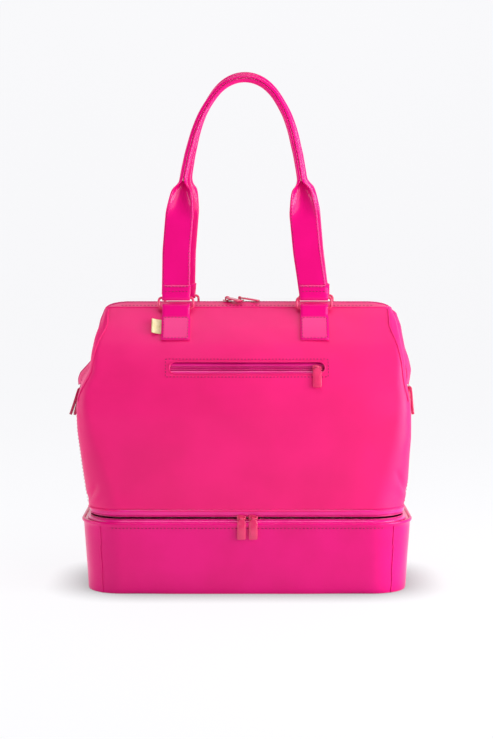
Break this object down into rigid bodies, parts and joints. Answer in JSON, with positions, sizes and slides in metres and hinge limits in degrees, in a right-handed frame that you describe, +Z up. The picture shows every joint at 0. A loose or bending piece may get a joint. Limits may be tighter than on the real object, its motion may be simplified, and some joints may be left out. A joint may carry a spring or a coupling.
{
  "type": "frame-mouth travel tote with a zip-off base compartment",
  "caption": "Soft travel tote with a spring-frame zip mouth, two looped shoulder handles, a front zip pocket and a base compartment that opens on its own zip.",
  "frame": {"origin": "middle of the base's underside, on the surface that the bag stands on", "axes": "+Z up, towards the handles; +X to the right as seen from the front; the front, with its pocket, faces -Y"},
  "size_m": [0.4536, 0.2035, 0.6865],
  "materials": {
    "body_fabric": "satin woven",
    "gloss_coated": "glossy coated",
    "painted_hardware": "gloss paint",
    "zip_tape": "woven tape",
    "zip_coil": "moulded coil",
    "lining": "plain woven",
    "spring_steel": "bright spring steel",
    "stiffener": "extruded sheet",
    "cord_core": "twisted cord",
    "woven_label": "plain woven"
  },
  "bodies": {
    "base": {"base_wall": "gloss_coated", "base_bottom": "gloss_coated", "base_board": "stiffener", "base_lining": "lining", "base_zip_lower_tape": "zip_tape", "base_zip_lower_coil": "zip_coil"},
    "upper_body": {"base_zip_upper_tape": "zip_tape", "base_zip_upper_coil": "zip_coil", "divider_floor": "body_fabric", "front_body_panel": "body_fabric", "rear_body_panel": "body_fabric", "left_gusset": "body_fabric", "right_gusset": "body_fabric", "main_lining": "lining", "frame_pins": "spring_steel", "base_hinge_strip": "body_fabric"},
    "front_mouth": {"front_mouth_panel": "body_fabric", "front_frame": "spring_steel", "top_zip_front_tape": "zip_tape", "top_zip_front_coil": "zip_coil", "front_left_chape": "gloss_coated", "front_right_chape": "gloss_coated", "side_label": "woven_label", "pocket_zip_tape": "zip_tape", "pocket_zip_coil": "zip_coil", "pocket_bag": "lining"},
    "rear_mouth": {"rear_mouth_panel": "body_fabric", "rear_frame": "spring_steel", "top_zip_rear_tape": "zip_tape", "top_zip_rear_coil": "zip_coil", "rear_left_chape": "gloss_coated", "rear_right_chape": "gloss_coated"},
    "left_zip_tab": {"left_zip_tab": "gloss_coated"},
    "right_zip_tab": {"right_zip_tab": "gloss_coated"},
    "pocket_slider": {"pocket_slider": "painted_hardware"},
    "pocket_pull": {"pocket_pull": "painted_hardware"},
    "top_left_slider": {"top_left_slider": "painted_hardware"},
    "top_left_pull": {"top_left_pull": "painted_hardware"},
    "base_left_slider": {"base_left_slider": "painted_hardware"},
    "base_left_pull": {"base_left_pull": "painted_hardware"},
    "top_right_slider": {"top_right_slider": "painted_hardware"},
    "top_right_pull": {"top_right_pull": "painted_hardware"},
    "base_right_slider": {"base_right_slider": "painted_hardware"},
    "base_right_pull": {"base_right_pull": "painted_hardware"},
    "front_left_ring": {"front_left_ring": "painted_hardware"},
    "front_right_ring": {"front_right_ring": "painted_hardware"},
    "front_handle": {"front_handle_straps": "gloss_coated", "front_handle_grip": "gloss_coated", "front_handle_core": "cord_core"},
    "rear_left_ring": {"rear_left_ring": "painted_hardware"},
    "rear_right_ring": {"rear_right_ring": "painted_hardware"},
    "rear_handle": {"rear_handle_straps": "gloss_coated", "rear_handle_grip": "gloss_coated", "rear_handle_core": "cord_core"}
  },
  "joints": [
    {"name": "base_opening", "type": "hinge", "parent": "base", "child": "upper_body", "pos_m": [0, 0.098, 0.1086], "axis": [-1, 0, 0], "range_deg": [0, 90]},
    {"name": "front_mouth_opening", "type": "hinge", "parent": "upper_body", "child": "front_mouth", "pos_m": [0, 0, 0.268], "axis": [1, 0, 0], "range_deg": [0, 20]},
    {"name": "rear_mouth_opening", "type": "hinge", "parent": "upper_body", "child": "rear_mouth", "pos_m": [0, 0, 0.268], "axis": [-1, 0, 0], "range_deg": [0, 20]},
    {"name": "top_left_slider_travel", "type": "slide", "parent": "front_mouth", "child": "top_left_slider", "axis": [-1, 0, 0], "range_m": [0, 0.13]},
    {"name": "top_right_slider_travel", "type": "slide", "parent": "front_mouth", "child": "top_right_slider", "axis": [1, 0, 0], "range_m": [0, 0.15]},
    {"name": "base_left_slider_travel", "type": "slide", "parent": "base", "child": "base_left_slider", "axis": [-1, 0, 0], "range_m": [0, 0.14]},
    {"name": "base_right_slider_travel", "type": "slide", "parent": "base", "child": "base_right_slider", "axis": [1, 0, 0], "range_m": [0, 0.14]},
    {"name": "top_left_pull_swing", "type": "hinge", "parent": "top_left_slider", "child": "top_left_pull", "pos_m": [-0.026, 0, 0.3875], "axis": [-0.766, -0.6428, 0], "range_deg": [0, 95]},
    {"name": "base_left_pull_swing", "type": "hinge", "parent": "base_left_slider", "child": "base_left_pull", "pos_m": [-0.007, -0.1018, 0.1086], "axis": [-1, 0, 0], "range_deg": [0, 120]},
    {"name": "top_right_pull_swing", "type": "hinge", "parent": "top_right_slider", "child": "top_right_pull", "pos_m": [-0.0095, 0, 0.3875], "axis": [-0.342, -0.9397, 0], "range_deg": [0, 95]},
    {"name": "base_right_pull_swing", "type": "hinge", "parent": "base_right_slider", "child": "base_right_pull", "pos_m": [0.008, -0.1018, 0.1086], "axis": [-1, 0, 0], "range_deg": [0, 120]},
    {"name": "pocket_slider_travel", "type": "slide", "parent": "front_mouth", "child": "pocket_slider", "axis": [-1, 0, 0], "range_m": [0, 0.18]},
    {"name": "pocket_pull_swing", "type": "hinge", "parent": "pocket_slider", "child": "pocket_pull", "pos_m": [0.09, -0.08217, 0.30148], "axis": [-1, 0, 0], "range_deg": [0, 120]},
    {"name": "left_tab_swing", "type": "hinge", "parent": "upper_body", "child": "left_zip_tab", "pos_m": [-0.2187, 0, 0.267], "axis": [0, 1, 0], "range_deg": [0, 70]},
    {"name": "right_tab_swing", "type": "hinge", "parent": "upper_body", "child": "right_zip_tab", "pos_m": [0.2187, 0, 0.267], "axis": [0, -1, 0], "range_deg": [0, 80]},
    {"name": "front_left_ring_swing", "type": "hinge", "parent": "front_mouth", "child": "front_left_ring", "pos_m": [-0.0925, -0.03558, 0.37517], "axis": [1, 0, 0], "range_deg": [0, 70]},
    {"name": "front_right_ring_swing", "type": "hinge", "parent": "front_mouth", "child": "front_right_ring", "pos_m": [0.0875, -0.03558, 0.37517], "axis": [1, 0, 0], "range_deg": [0, 70]},
    {"name": "front_handle_swing", "type": "hinge", "parent": "front_left_ring", "child": "front_handle", "pos_m": [-0.0925, -0.03558, 0.38867], "axis": [1, 0, 0], "range_deg": [0, 50]},
    {"name": "rear_left_ring_swing", "type": "hinge", "parent": "rear_mouth", "child": "rear_left_ring", "pos_m": [-0.0875, 0.03558, 0.37517], "axis": [-1, 0, 0], "range_deg": [0, 70]},
    {"name": "rear_right_ring_swing", "type": "hinge", "parent": "rear_mouth", "child": "rear_right_ring", "pos_m": [0.0925, 0.03558, 0.37517], "axis": [-1, 0, 0], "range_deg": [0, 70]},
    {"name": "rear_handle_swing", "type": "hinge", "parent": "rear_left_ring", "child": "rear_handle", "pos_m": [-0.0875, 0.03558, 0.38867], "axis": [-1, 0, 0], "range_deg": [0, 50]}
  ],
  "couplings": [
    {"joint": "rear_mouth_opening", "follows": "front_mouth_opening", "ratio": 1},
    {"joint": "front_right_ring_swing", "follows": "front_left_ring_swing", "ratio": 1},
    {"joint": "rear_right_ring_swing", "follows": "rear_left_ring_swing", "ratio": 1}
  ]
}
